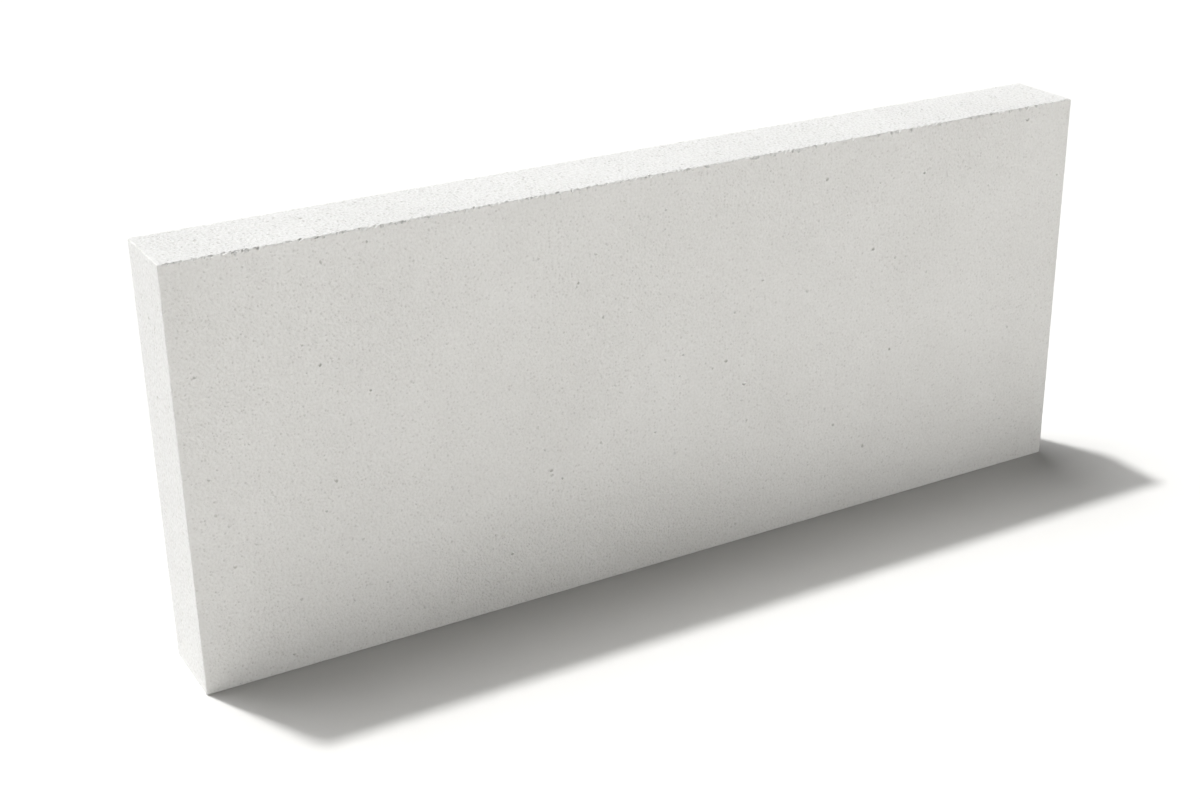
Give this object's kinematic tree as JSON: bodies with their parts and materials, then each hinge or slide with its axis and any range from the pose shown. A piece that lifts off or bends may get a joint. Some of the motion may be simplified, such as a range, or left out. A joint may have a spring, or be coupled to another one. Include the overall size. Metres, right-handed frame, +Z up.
{
  "type": "aerated concrete block",
  "caption": "Plain rectangular partition block of aerated concrete, standing on its long bed face, with flat cut faces and slightly worn arrises, for thin-joint masonry walls.",
  "frame": {"origin": "middle of the lower bed face, which the block stands on", "axes": "+X along the course from the left end face to the right one, +Y through the wall from the front face to the back, +Z up from bed face to bed face"},
  "size_m": [0.6, 0.05, 0.25],
  "materials": {
    "aerated_concrete": "matte"
  },
  "bodies": {
    "root": {"concrete_block": "aerated_concrete"}
  },
  "joints": []
}
